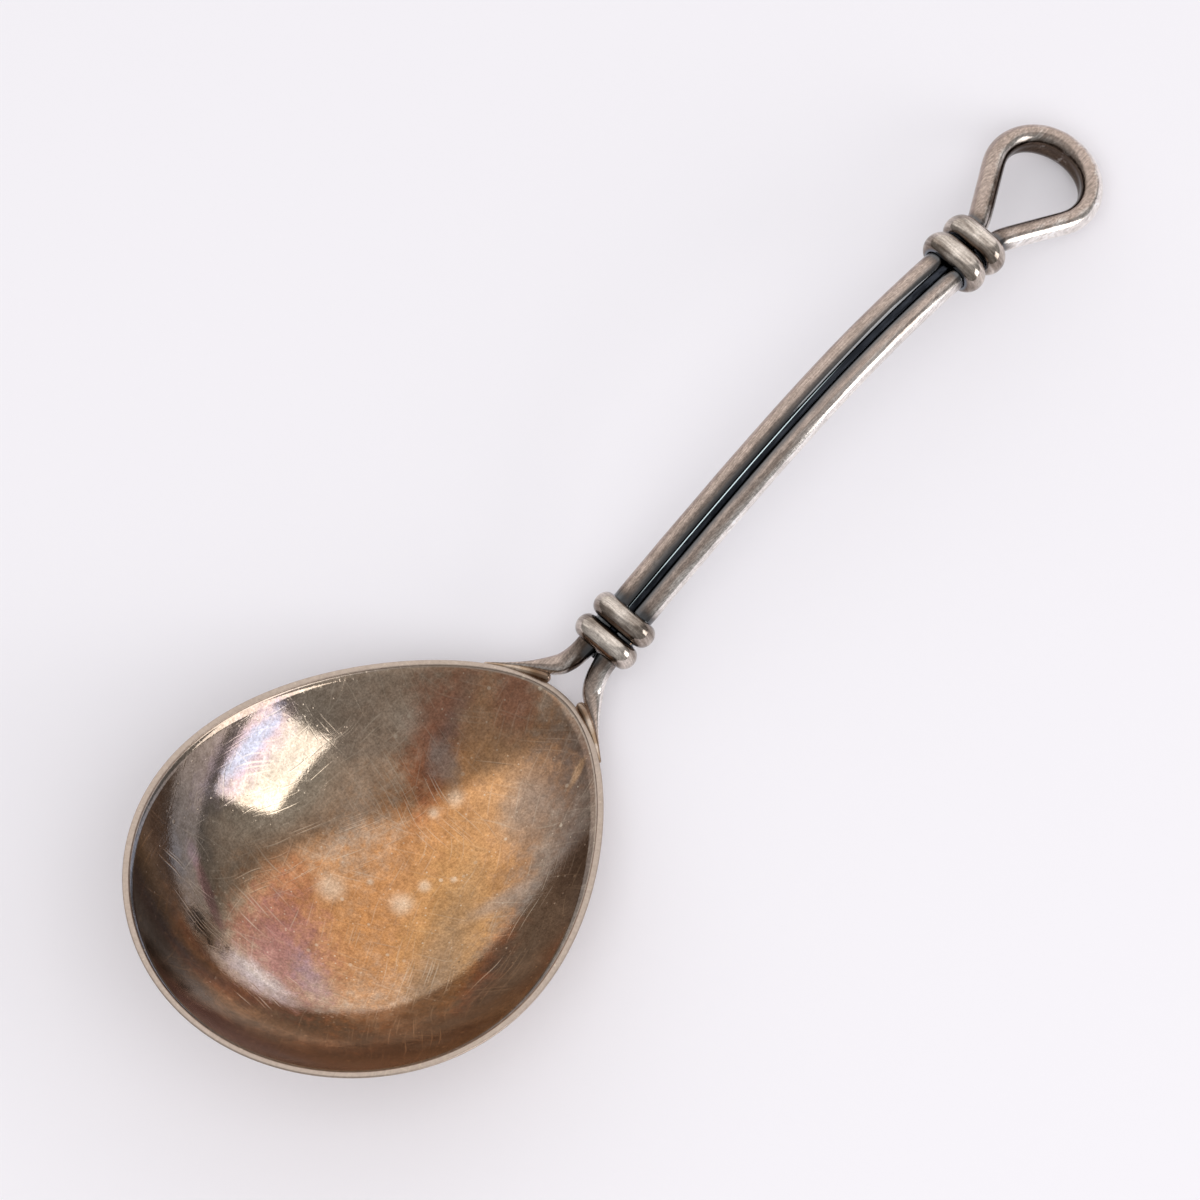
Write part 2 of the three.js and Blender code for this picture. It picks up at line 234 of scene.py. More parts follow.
@dataclass(frozen=True)
class Dots:
    """Scattered round specks or pits, in millimetres."""

    spacing: float
    radius: float
    share: float
    softness: float = 0.3

    def mask(self, tree: Tree, place: Socket) -> Socket:
        """Builds the dots.

        Args:
            tree: Node tree that gets the nodes.
            place: Object coordinates.

        Returns:
            A socket that is 1 on a dot and 0 beside it.
        """
        cell = add(tree, "TexVoronoi", {"Vector": place, "Scale": 1 / (self.spacing * MM)})
        size = self.radius / self.spacing
        edge = ((1 + self.softness) * size, (1 - self.softness) * size)
        dot = add(tree, "MapRange", {"Value": cell.outputs["Distance"], **span("From", edge)}, **SOFT)
        chosen = add(tree, "MapRange", {"Value": cell.outputs["Color"], **span("From", (self.share, 0.0))})
        return add(tree, "Math", {0: dot.outputs[0], 1: chosen.outputs[0]}, operation="MULTIPLY").outputs[0]


def overlay_patches(tree: Tree, place: Socket, wobble: Socket, colour: Socket | Colour,
            stains_and_highlights: Iterable[tuple[str, float, Stain]]) -> Socket | Colour:
    """Lays patches over a colour: tarnish, and painted highlights.

    Args:
        tree: Node tree that gets the nodes.
        place: Object coordinates.
        wobble: Noise that makes the patches' edges uneven.
        colour: The colour below.
        stains_and_highlights: Tint, strength and shape of each patch, from the lowest layer up.

    Returns:
        The stained colour.
    """
    for tint, strength, stain in stains_and_highlights:
        cover = add(tree, "Math", {0: stain.mask(tree, place, wobble), 1: strength}, operation="MULTIPLY")
        colour = add(tree, "Mix", {0: cover.outputs[0], 6: colour, 7: linear(tint)},
                     data_type="RGBA").outputs[2]
    return colour


def mottled(tree: Tree, place: Socket, colour: Socket, layers: Layers) -> Socket:
    """Makes a colour uneven, with its dark parts the warmer ones.

    Args:
        tree: Node tree that gets the nodes.
        place: Object coordinates.
        colour: The even colour.
        layers: Size of each layer's largest clouds, in millimetres, and how strongly it swings.

    Returns:
        The uneven colour.
    """
    for size, amount in layers:
        clouds = add(tree, "TexNoise", {"Vector": place, "Scale": 1 / (size * MM), "Detail": 5.0,
                                        "Roughness": 0.68})
        swing = tuple(amount * channel for channel in WARM_SWING)
        middle = tuple(1 - part / 2 for part in swing)
        tint = add(tree, "VectorMath", {0: clouds.outputs["Fac"], 1: swing, 2: middle},
                   operation="MULTIPLY_ADD")
        colour = add(tree, "VectorMath", {0: colour, 1: tint.outputs[0]}, operation="MULTIPLY").outputs[0]
    return colour


def new_material(name: str) -> tuple[bpy.types.Material, Tree, bpy.types.Node]:
    """Makes a node material with a bare metal shader.

    Args:
        name: Name of the finish.

    Returns:
        The material, its node tree and its shader node.
    """
    material = bpy.data.materials.new(name)
    material.use_nodes = True
    tree = material.node_tree
    shader = tree.nodes["Principled BSDF"]
    shader.inputs["Metallic"].default_value = 1.0
    return material, tree, shader


@dataclass(frozen=True)
class BowlSilver:
    """Raised sheet silver: a rubbed polish under brown sulphide tarnish, so it mirrors dimly and warmly.

    The rim is filed flat, so its gleam is broader and duller than that of the well. The well also carries
    painted shade towards the rim and one painted orange glint.
    """

    tarnish: str = "#b59c87"
    olive: str = "#ab947f"
    pale: str = "#c0b09c"
    copper: str = "#b8804f"
    golden: str = "#c39a63"
    amber_and_glint: str = "#d9a777"
    haze: str = "#dac3ac"
    plum: str = "#96696a"
    red: str = "#a5664a"
    umber: str = "#6e6863"
    lead: str = "#71757e"
    bistre: str = "#77685a"
    soot: str = "#3d3732"
    sepia: str = "#5c3d2e"
    slate: str = "#9c8f85"
    ash: str = "#d6c9c4"
    spot: str = "#e2d2bd"
    pit: str = "#54402f"
    film_blue: str = "#93a9c6"
    film_pink: str = "#b394a4"
    rim: str = "#b6a598"
    outside: str = "#d3c6ba"
    outside_dull: str = "#94816f"
    roughness: tuple[float, float] = (0.04, 0.12)
    filed: float = 0.2
    satin: float = 0.08
    grain_height: float = 0.5
    relief: float = 0.3
    clouds: tuple[tuple[float, float], ...] = ((5, 5.0), (1.5, 6.0), (0.35, 3.0))
    well_layers: Layers = ((4.0, 0.9), (1.0, 0.7), (0.28, 1.7))
    # Painted shade up the well's wall towards the rim and the tip.
    rim_shade_edge: tuple[float, float] = (0.82, 1.04)
    rim_shade_cloud: float = 0.4
    tipward: Fade = Fade((-0.894, -0.447, 0), (17, 53), (0.3, 0.97))
    leftward: Fade = Fade((-0.9, 0.43, 0), (63, 71))
    back_clouds: float = 16
    back_edge: tuple[float, float] = (0.38, 0.68)
    back_layers: Layers = ((0.5, 0.7),)
    pits: Dots = Dots(5.0, 0.16, 0.5)
    specks: tuple[Dots, Dots] = (Dots(0.8, 0.12, 0.55), Dots(2.3, 0.26, 0.5))
    scratch_bend: float = 14
    scratch_sway: float = 5
    scratch_light: float = 0.6
    scratch_dull: float = 0.12

    def patches(self) -> list[tuple[str, float, Stain]]:
        """Lists the patches of tarnish inside, and one painted orange glint, with their tints and strengths,
        from the lowest layer up.
        """
        water_spots = [((-51.6, 4.4), 1.5), ((-35.2, 2.3), 0.6), ((-31.9, 1.7), 1.0), ((-47, -3), 1.3),
                       ((-43.2, -3.4), 0.7), ((-47.4, 1.7), 0.35), ((-40.2, -5.5), 0.4), ((-29.6, 12), 1.6)]
        return [
            (self.olive, 0.9, Stain((-63, 16), (19, 10), -35, 0.55)),
            (self.haze, 0.8, Stain((-38, 17.5), (16, 7), -12, 0.55)),
            (self.copper, 0.3, Stain((-30, 12), (13, 6), 0, 0.8, 1.0)),
            (self.bistre, 0.85, Stain((-50, -17), (19, 5), 20, 0.6, 0.7)),
            (self.sepia, 0.75, Stain((-20.5, -7), (8, 6), -40, 0.7, 0.7)),
            (self.sepia, 0.85, Stain((-30.5, -17), (9, 2.8), 45, 0.6, 0.7)),
            (self.soot, 0.75, Stain((-67.5, -9.5), (10, 2.6), -62, 0.6, 0.7)),
            (self.bistre, 0.85, Stain((-63.5, 16.5), (9.5, 3.0), 53, 0.6, 0.6)),
            (self.copper, 0.9, Stain((-42, -4.5), (20, 10), 15, 0.6, 0.7)),
            (self.copper, 0.85, Stain((-57, 2.5), (10, 8), 40, 0.6, 0.7)),
            (self.copper, 0.35, Stain((-52, 11), (12, 4), 20, 0.8, 1.0)),
            (self.copper, 0.7, Stain((-26, 3), (11, 7), 20, 0.7, 0.9)),
            (self.golden, 0.4, Stain((-44, -9), (11, 5), 30, 0.8, 0.9)),
            (self.amber_and_glint, 0.6, Stain((-28, -1.8), (6, 4), 30, 0.9, 1.0)),
            # A painted reflection: a small bright orange glint by the right leg.
            (self.amber_and_glint, 0.7, Stain((-20.8, -8.3), (1.8, 0.5), 16, 0.4, 0.4)),
            (self.red, 0.6, Stain((-29, 8.5), (6.5, 3.0), 35, 0.6, 1.0)),
            (self.red, 0.55, Stain((-25, 9), (8.5, 1.6), 12, 0.9, 1.4)),
            (self.red, 0.55, Stain((-30.5, 6), (6, 1.4), 24, 0.9, 1.4)),
            (self.umber, 0.4, Stain((-27, 7.4), (5, 0.9), 16, 0.9, 1.4)),
            (self.red, 0.5, Stain((-56.5, 7), (5, 3.4), 35, 0.7, 1.0)),
            (self.red, 0.7, Stain((-18.5, 4), (3.8, 2.4), 40, 0.6, 0.9)),
            (self.red, 0.65, Stain((-52, -20.5), (10, 2.2), 22, 0.7, 0.8)),
            (self.red, 0.6, Stain((-64, 7.5), (2.6, 1.4), 60, 0.7, 0.9)),
            (self.slate, 0.6, Stain((-29.8, 5.5), (2.6, 1.7), 70, 0.6, 0.7)),
            (self.slate, 0.5, Stain((-27.8, -5.5), (3.6, 2.4), 20, 0.7, 0.9)),
            (self.slate, 0.5, Stain((-39, -12.2), (4.4, 1.0), -20, 0.7, 0.7)),
            (self.bistre, 0.5, Stain((-51, -12.5), (12, 2.4), 24, 0.8, 0.9)),
            (self.plum, 0.75, Stain((-63, 2), (6.5, 4.8), 50, 0.9, 1.3)),
            (self.film_blue, 0.2, Stain((-62.9, -2.7), (3.4, 1.5), 70, 0.9, 1.2)),
            (self.plum, 0.55, Stain((-64.3, 13), (5.0, 0.6), 62, 0.6, 0.5)),
            (self.film_pink, 0.35, Stain((-62, 17.6), (1.6, 0.7), 50, 0.6, 0.5)),
            (self.ash, 0.75, Stain((-68.2, 1.8), (1.3, 4.4), 4, 0.9, 1.2)),
            (self.pale, 0.9, Stain((-45.5, 17.8), (8.5, 5), 10, 0.5)),
            (self.film_pink, 0.85, Stain((-47.5, 22), (7.5, 2.2), 4, 0.6, 0.8)),
            (self.film_blue, 0.65, Stain((-47, 22), (5.5, 0.9), 4, 0.6, 1.0)),
            *((self.spot, 0.4, Stain(centre, (size, size), softness=0.8, ragged=0.6))
              for centre, size in water_spots),
        ]

    def scratches(self) -> list[Scratches]:
        """Lists the scratches: long rubs along each side of the well, and a few loose ones everywhere."""
        return [
            Scratches(86, 6, 0.5, 0.95, 1.0, (-60, 14), (6.5, 8)),
            Scratches(80, 5, 0.4, 0.95, 0.8, (-31, 12), (13, 8)),
            Scratches(-15, 5, 0.36, 0.98, 0.8, (-46, 12), (13, 5)),
            Scratches(-8, 5, 0.36, 0.9, 0.7, (-38, 19), (15, 6)),
            Scratches(-86, 4, 0.36, 0.98, 1.0, (-67.5, 1.5), (2.6, 5.5)),
            Scratches(32, 5, 0.4, 0.95, 0.8, (-58, -13), (12, 6)),
            Scratches(10, 7, 0.45, 0.6, 0.9, (-43, -15), (9, 4)),
            Scratches(24, 5, 0.5, 0.7, 0.35),
            Scratches(-62, 6, 0.55, 0.6, 0.35),
        ]

    def well(self, tree: Tree, place: Socket, cloud: Socket, mottle: Socket) -> Socket:
        """Builds the colour inside: patches of tarnish, and painted shade that darkens the wall towards the
        rim, most towards the tip.

        Args:
            tree: Node tree that gets the nodes.
            place: Object coordinates.
            cloud: Noise for the edge of the painted shade by the rim.
            mottle: Finer noise for the patches' edges.

        Returns:
            The colour.
        """
        colour = overlay_patches(tree, place, mottle, linear(self.tarnish), self.patches())
        # Painted shade: darker towards the rim and the tip, from umber to lead grey across the tip, standing
        # in for the wall's dark reflection of the bowl's own inside.
        outness = add(tree, "Attribute", attribute_name="outness").outputs["Fac"]
        uneven = add(tree, "Math", {0: cloud, 1: self.rim_shade_cloud, 2: outness}, operation="MULTIPLY_ADD")
        rim_shade = add(tree, "MapRange", {"Value": uneven.outputs[0], **span("From", self.rim_shade_edge)}, **SOFT)
        rim_shade = add(tree, "Math", {0: rim_shade.outputs[0], 1: self.tipward.value(tree, place)},
                    operation="MULTIPLY")
        shade_tint = add(tree, "Mix", {0: self.leftward.value(tree, place), 6: linear(self.umber),
                                  7: linear(self.lead)}, data_type="RGBA")
        colour = add(tree, "Mix", {0: rim_shade.outputs[0], 6: colour, 7: shade_tint.outputs[2]},
                     data_type="RGBA").outputs[2]
        return mottled(tree, place, colour, self.well_layers)

    def back(self, tree: Tree, place: Socket, rim: Socket) -> Socket:
        """Builds the colour of the outside and the rim.

        Args:
            tree: Node tree that gets the nodes.
            place: Object coordinates.
            rim: 1 on the rim and 0 elsewhere.

        Returns:
            The colour.
        """
        drift = add(tree, "TexNoise", {"Vector": place, "Scale": 1 / (self.back_clouds * MM), "Detail": 7.0,
                                       "Roughness": 0.62})
        dulled = add(tree, "MapRange", {"Value": drift.outputs["Fac"], **span("From", self.back_edge)},
                     **SOFT)
        colour = add(tree, "Mix", {0: dulled.outputs[0], 6: linear(self.outside),
                                   7: linear(self.outside_dull)}, data_type="RGBA").outputs[2]
        colour = add(tree, "Mix", {0: rim, 6: colour, 7: linear(self.rim)}, data_type="RGBA").outputs[2]
        return mottled(tree, place, colour, self.back_layers)

    def wear(self, tree: Tree, place: Socket, cloud: Socket) -> Socket:
        """Builds the bright marks of use, which are specks and scratches.

        Args:
            tree: Node tree that gets the nodes.
            place: Object coordinates.
            cloud: Noise that breaks up the scratched patches.

        Returns:
            A socket that is 1 on a mark and 0 beside it.
        """
        bend = add(tree, "TexNoise", {"Vector": place, "Scale": 1 / (self.scratch_bend * MM), "Detail": 1.0})
        bent = add(tree, "VectorMath", {0: bend.outputs["Color"], 1: (self.scratch_sway * MM,) * 3, 2: place},
                   operation="MULTIPLY_ADD").outputs[0]
        worn, *marks = (dots.mask(tree, place) for dots in self.specks)
        marks += [family.mask(tree, bent, cloud) for family in self.scratches()]
        for mark in marks:
            worn = add(tree, "Math", {0: worn, 1: mark}, operation="MAXIMUM").outputs[0]
        return worn

    def make(self) -> bpy.types.Material:
        """Builds the material."""
        material, tree, shader = new_material("tarnished_raised_silver")
        place = add(tree, "TexCoord").outputs["Object"]
        inside, rim = (add(tree, "Attribute", attribute_name=wall.value).outputs["Fac"]
                       for wall in (Wall.INSIDE, Wall.RIM))
        cloud, mottle, grain = (
            add(tree, "TexNoise", {"Vector": place, "Scale": 1 / (size * MM), "Detail": detail,
                                   "Roughness": 0.65}).outputs["Fac"]
            for size, detail in self.clouds)
        colour = add(tree, "Mix", {0: inside, 6: self.back(tree, place, rim),
                                   7: self.well(tree, place, cloud, mottle)}, data_type="RGBA").outputs[2]
        pits = add(tree, "Math", {0: self.pits.mask(tree, place), 1: inside}, operation="MULTIPLY")
        colour = add(tree, "Mix", {0: pits.outputs[0], 6: colour, 7: linear(self.pit)},
                     data_type="RGBA").outputs[2]
        worn = self.wear(tree, place, cloud)
        light = add(tree, "Math", {0: worn, 1: self.scratch_light}, operation="MULTIPLY")
        colour = add(tree, "Mix", {0: light.outputs[0], 6: colour, 7: linear(self.spot)},
                     data_type="RGBA").outputs[2]
        tree.links.new(colour, shader.inputs["Base Color"])
        rough = add(tree, "MapRange", {"Value": mottle, **span("From", NOISE_ENDS),
                                       **span("To", self.roughness)}).outputs[0]
        rough = add(tree, "Math", {0: worn, 1: self.scratch_dull, 2: rough},
                    operation="MULTIPLY_ADD").outputs[0]
        satin = add(tree, "Math", {0: inside, 1: -self.satin, 2: self.satin}, operation="MULTIPLY_ADD")
        rough = add(tree, "Math", {0: rough, 1: satin.outputs[0]}, operation="ADD").outputs[0]
        rough = add(tree, "Math", {0: rim, 1: self.filed, 2: rough}, operation="MULTIPLY_ADD").outputs[0]
        tree.links.new(rough, shader.inputs["Roughness"])
        height = add(tree, "Math", {0: grain, 1: self.grain_height, 2: worn}, operation="MULTIPLY_ADD")
        relief = add(tree, "Bump", {"Height": height.outputs[0], "Strength": self.relief,
                                    "Distance": TOOL_MARK * MM})
        tree.links.new(relief.outputs["Normal"], shader.inputs["Normal"])
        return material


@dataclass(frozen=True)
class HandledSilver:
    """Silver that hands rub: it gleams where it is clean, and turns brown, then glossy black, at its joints.

    Lengths are in millimetres. A halo of brown lies round the rings. Faces that look into a hollow are
    painted darker, as shade with tarnish left there, and the upper side, turned a little away from the lamp,
    is painted duller as shade.
    """

    name: str
    bright: str
    dull_and_top_shade: str
    joint: str
    glint: str
    halo: str
    halo_edge: tuple[float, float]
    joint_edge: tuple[float, float]
    streak: tuple[float, float]
    rub_and_highlight_edge: tuple[float, float]
    top_shade: float
    dull_and_shade_edge: tuple[float, float]
    roughness: tuple[float, float]
    shaded_side: tuple[float, float, float] = (0, 0.45, 1.0)
    rub_and_highlight_left: float = 0.3
    hollow_tarnish_and_shade_edge: tuple[float, float] = (0.25, 0.9)
    hollow_tarnish_and_shade_strength: float = 1.5
    halo_strength: float = 1.7
    cloud_scale: float = 0.16
    grain: float = 0.3
    line_shades: tuple[float, float] = (0.7, 1.2)
    grain_shades: tuple[float, float] = (0.75, 1.17)
    layers: Layers = ((7.0, 0.6), (1.6, 0.6))
    joint_ragged: float = 0.16
    glints: Dots = Dots(1.4, 0.13, 0.4)
    crust_gloss: float = 0.1
    crust_ior: float = 1.9
    crust_roughness: float = 0.06
    relief: float = 0.2

    def tarnish(self, tree: Tree, near: Socket, cloud: Socket) -> Socket:
        """Builds the colour of the clean, the dull and the brown parts, with painted shade on the upper side
        and in hollows.

        Args:
            tree: Node tree that gets the nodes.
            near: Distance from the joints.
            cloud: Noise for the edges between them.

        Returns:
            The colour.
        """
        # Painted shade: the upper side, turned a little away from the lamp, is duller, mixed with random
        # tarnish.
        normal = add(tree, "NewGeometry").outputs["Normal"]
        upward = add(tree, "VectorMath", {0: normal, 1: self.shaded_side}, operation="DOT_PRODUCT")
        shade_and_cloud = add(tree, "Math", {0: upward.outputs["Value"], 1: self.top_shade, 2: cloud},
                   operation="MULTIPLY_ADD")
        patch = add(tree, "MapRange", {"Value": shade_and_cloud.outputs[0], **span("From", self.dull_and_shade_edge)}, **SOFT)
        # On the rings the crown is painted lighter: rubbed wear, and a painted highlight line.
        rub_and_highlight = add(tree, "MapRange", {"Value": near, **span("From", self.rub_and_highlight_edge),
                                        **span("To", (1.0, self.rub_and_highlight_left))}, **SOFT)
        patch = add(tree, "Math", {0: patch.outputs[0], 1: rub_and_highlight.outputs[0]}, operation="MULTIPLY")
        colour = add(tree, "Mix", {0: patch.outputs[0], 6: linear(self.bright), 7: linear(self.dull_and_top_shade)},
                     data_type="RGBA").outputs[2]
        ring_near, facing_hollow = (add(tree, "Attribute", attribute_name=name).outputs["Fac"]
                              for name in ("ring_distance", "facing_hollow"))
        halo = add(tree, "MapRange", {"Value": ring_near, **span("From", self.halo_edge)}, **SOFT)
        # Painted shade, with tarnish left there: faces that look into a hollow turn brown.
        hollow_tarnish_and_shade = add(tree, "MapRange", {"Value": facing_hollow, **span("From", self.hollow_tarnish_and_shade_edge),
                                        "To Max": self.hollow_tarnish_and_shade_strength}, **SOFT)
        brown = add(tree, "Math", {0: halo.outputs[0], 1: hollow_tarnish_and_shade.outputs[0]}, operation="ADD")
        brown = add(tree, "Math", {0: brown.outputs[0], 1: cloud}, operation="MULTIPLY")
        brown = add(tree, "Math", {0: brown.outputs[0], 1: self.halo_strength}, operation="MULTIPLY",
                    use_clamp=True)
        return add(tree, "Mix", {0: brown.outputs[0], 6: colour, 7: linear(self.halo)},
                   data_type="RGBA").outputs[2]

    def make(self) -> bpy.types.Material:
        """Builds the material."""
        material, tree, shader = new_material(self.name)
        place = add(tree, "TexCoord").outputs["Object"]
        near = add(tree, "Attribute", attribute_name="joint_distance").outputs["Fac"]
        long, fine = (length * MM for length in self.streak)
        drawn = add(tree, "Mapping", {"Vector": place, "Scale": (long, fine, fine)},
                    vector_type="TEXTURE").outputs["Vector"]
        cloud = add(tree, "TexNoise", {"Vector": drawn, "Scale": self.cloud_scale, "Detail": 6.0,
                                       "Roughness": 0.66}).outputs["Fac"]
        grain = add(tree, "TexNoise", {"Vector": place, "Scale": 1 / (self.grain * MM), "Detail": 5.0,
                                       "Roughness": 0.66}).outputs["Fac"]
        streak = add(tree, "TexNoise", {"Vector": drawn, "Scale": 1.0, "Detail": 3.0}).outputs["Fac"]
        lines, speckle, ragged, rough = (
            add(tree, "MapRange", {"Value": value, **span("From", NOISE_ENDS), **span("To", ends)}).outputs[0]
            for value, ends in ((streak, self.line_shades), (grain, self.grain_shades),
                                (cloud, (-self.joint_ragged, self.joint_ragged)), (grain, self.roughness)))
        shade = add(tree, "Math", {0: lines, 1: speckle}, operation="MULTIPLY")
        colour = add(tree, "VectorMath", {0: self.tarnish(tree, near, cloud), "Scale": shade.outputs[0]},
                     operation="SCALE").outputs[0]
        colour = mottled(tree, place, colour, self.layers)
        depth = add(tree, "Math", {0: near, 1: ragged}, operation="ADD")
        joint = add(tree, "MapRange", {"Value": depth.outputs[0], **span("From", self.joint_edge)},
                    **SOFT).outputs[0]
        colour = add(tree, "Mix", {0: joint, 6: colour, 7: linear(self.joint)}, data_type="RGBA").outputs[2]
        glints = add(tree, "Math", {0: self.glints.mask(tree, place), 1: joint}, operation="MULTIPLY")
        colour = add(tree, "Mix", {0: glints.outputs[0], 6: colour, 7: linear(self.glint)},
                     data_type="RGBA").outputs[2]
        tree.links.new(colour, shader.inputs["Base Color"])
        glossy = add(tree, "Math", {0: joint, 1: -self.crust_gloss, 2: rough}, operation="MULTIPLY_ADD")
        tree.links.new(glossy.outputs[0], shader.inputs["Roughness"])
        tree.links.new(joint, shader.inputs["Coat Weight"])
        shader.inputs["Coat IOR"].default_value = self.crust_ior
        shader.inputs["Coat Roughness"].default_value = self.crust_roughness
        height = add(tree, "Math", {0: grain, 1: streak}, operation="ADD")
        relief = add(tree, "Bump", {"Height": height.outputs[0], "Strength": self.relief,
                                    "Distance": TOOL_MARK * MM})
        tree.links.new(relief.outputs["Normal"], shader.inputs["Normal"])
        return material


@dataclass(frozen=True)
class Solder:
    """Silver solder left as it flowed, with an oxidised skin: smooth in the groove and uneven at the legs,
    under laid-on stains and painted highlight lines.
    """

    name: str
    deep: str
    pale: str
    roughness: tuple[float, float]
    lump: float
    flow: tuple[float, float]
    stains_and_highlights: tuple[tuple[str, float, Stain], ...]
    pale_edge: tuple[float, float] = (0.4, 0.66)
    lump_height: float = 0.15

    def make(self) -> bpy.types.Material:
        """Builds the material."""
        material, tree, shader = new_material(self.name)
        place = add(tree, "TexCoord").outputs["Object"]
        along, across = (length * MM for length in self.flow)
        flow = add(tree, "Mapping", {"Vector": place, "Scale": (along, across, across)},
                   vector_type="TEXTURE")
        cloud = add(tree, "TexNoise", {"Vector": flow.outputs["Vector"], "Scale": 1.0, "Detail": 6.0,
                                       "Roughness": 0.65}).outputs["Fac"]
        patch = add(tree, "MapRange", {"Value": cloud, **span("From", self.pale_edge)}, **SOFT)
        colour = add(tree, "Mix", {0: patch.outputs[0], 6: linear(self.deep), 7: linear(self.pale)},
                     data_type="RGBA").outputs[2]
        tree.links.new(overlay_patches(tree, place, cloud, colour, self.stains_and_highlights), shader.inputs["Base Color"])
        rough = add(tree, "MapRange", {"Value": cloud, **span("From", NOISE_ENDS),
                                       **span("To", self.roughness)})
        tree.links.new(rough.outputs[0], shader.inputs["Roughness"])
        relief = add(tree, "Bump", {"Height": cloud, "Strength": self.lump,
                                    "Distance": self.lump_height * MM})
        tree.links.new(relief.outputs["Normal"], shader.inputs["Normal"])
        return material


@dataclass(frozen=True)
class Paper:
    """Matt white paper: it scatters light evenly, so it shows soft shadows and no reflection."""

    name: str = "matt_white_paper"
    white: str = "#f7f4f9"
    roughness: float = 0.9

    def make(self) -> bpy.types.Material:
        """Builds the material."""
        material, _, shader = new_material(self.name)
        shader.inputs["Base Color"].default_value = linear(self.white)
        shader.inputs["Metallic"].default_value = 0.0
        shader.inputs["Roughness"].default_value = self.roughness
        shader.inputs["Specular IOR Level"].default_value = 0.0
        return material


def merged_copy(node: bpy.types.Object, crease_from: float) -> bmesh.types.BMesh:
    """Copies a CAD node as quads, where two triangles make a fair one, with its sharp edges creased.

    Args:
        node: The CAD node, whose mesh is loose triangles.
        crease_from: Angle between two faces from which their edge stays sharp, in degrees.

    Returns:
        The merged copy.
    """
    bm = bmesh.new()
    bm.from_mesh(node.data)
    bmesh.ops.remove_doubles(bm, verts=bm.verts, dist=WELD * MM)
    bmesh.ops.join_triangles(bm, faces=bm.faces, angle_face_threshold=math.radians(QUAD_BEND),
                             angle_shape_threshold=math.radians(QUAD_SKEW))
    crease = bm.edges.layers.float.get("crease_edge") or bm.edges.layers.float.new("crease_edge")
    for edge in bm.edges:
        if edge.is_manifold and edge.calc_face_angle(0) > math.radians(crease_from):
            edge[crease] = 1.0
    return bm


def make_piece(name: str, bm: bmesh.types.BMesh, smoothing: int) -> bpy.types.Object:
    """Turns a bmesh into an object whose subdivision is applied.

    Args:
        name: Name of the piece.
        bm: Its mesh, which is freed.
        smoothing: Subdivision levels.

    Returns:
        The object, at the origin.
    """
    mesh = bpy.data.meshes.new(name)
    bm.to_mesh(mesh)
    bm.free()
    piece = bpy.data.objects.new(name, mesh)
    bpy.context.scene.collection.objects.link(piece)
    if smoothing:
        piece.modifiers.new("smoothing", "SUBSURF").levels = smoothing
        piece.modifiers["smoothing"].render_levels = smoothing
        depsgraph = bpy.context.evaluated_depsgraph_get()
        piece.data = bpy.data.meshes.new_from_object(piece.evaluated_get(depsgraph))
        piece.modifiers.clear()
    piece.data.shade_smooth()
    return piece


def dent(piece: bpy.types.Object, height: float, size: float) -> None:
    """Moves a piece's surface in and out by a little, as hand work leaves it.

    Args:
        piece: The piece, with its subdivision applied.
        height: Largest movement, in millimetres.
        size: Size of a dent, in millimetres.
    """
    normals = [vertex.normal.copy() for vertex in piece.data.vertices]
    for vertex, normal in zip(piece.data.vertices, normals):
        vertex.co += normal * noise.noise(vertex.co / (size * MM)) * height * MM


def swell(piece: bpy.types.Object, height: float, thin: float, thick: float) -> None:
    """Moves a piece's surface outwards, less and less towards its thin end.

    Args:
        piece: The piece, with its subdivision applied.
        height: Movement at the thick end, in millimetres.
        thin: Place of the thin end along X, in millimetres.
        thick: Place along X from which the movement is full, in millimetres.
    """
    normals = [vertex.normal.copy() for vertex in piece.data.vertices]
    for vertex, normal in zip(piece.data.vertices, normals):
        share = min(max((vertex.co.x / MM - thin) / (thick - thin), 0), 1)
        vertex.co += normal * height * share * MM


def ring_nodes() -> list[str]:
    """Lists the CAD nodes of the binding rings."""
    return sorted(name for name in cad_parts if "_ring_" in name)


def mark_distance(piece: bpy.types.Object, attribute: str, neighbours: list[str]) -> None:
    """Stores how far each point of a piece lies from its neighbours, in millimetres, as an attribute.

    Args:
        piece: The piece, with its subdivision applied.
        attribute: Name of the attribute.
        neighbours: CAD nodes that it touches.
    """
    bm = bmesh.new()
    for name in neighbours:
        bm.from_mesh(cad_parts[name].data)
    tree = BVHTree.FromBMesh(bm)
    bm.free()
    store = piece.data.attributes.new(attribute, "FLOAT", "POINT")
    for vertex, value in zip(piece.data.vertices, store.data):
        value.value = tree.find_nearest(vertex.co)[3] / MM


def mark_facing_hollow(piece: bpy.types.Object, hollows: tuple[tuple[float, float, float], ...]) -> None:
    """Stores how squarely each point of a piece faces a hollow, as an attribute, which the finish turns into
    painted shade with tarnish left there.

    Args:
        piece: The piece, with its subdivision applied.
        hollows: Place of each hollow on the table and its reach, in millimetres.
    """
    store = piece.data.attributes.new("facing_hollow", "FLOAT", "POINT")
    for vertex, value in zip(piece.data.vertices, store.data):
        for along, across, reach in hollows:
            way = Vector((along * MM - vertex.co.x, across * MM - vertex.co.y, 0))
            if way.length < reach * MM:
                value.value = max(value.value, vertex.normal.dot(way.normalized()))


def hand_over(piece: bpy.types.Object, node: str, material: bpy.types.Material) -> None:
    """Puts a finished piece in the place of its CAD node.

    Args:
        piece: The finished piece.
        node: The CAD node that it stands for.
        material: Its finish.
    """
    piece.data.materials.clear()
    piece.data.materials.append(material)
    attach(piece, "root")
    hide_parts(node)
    LOG.info("%s stands for %s with %d faces", piece.name, node, len(piece.data.polygons))


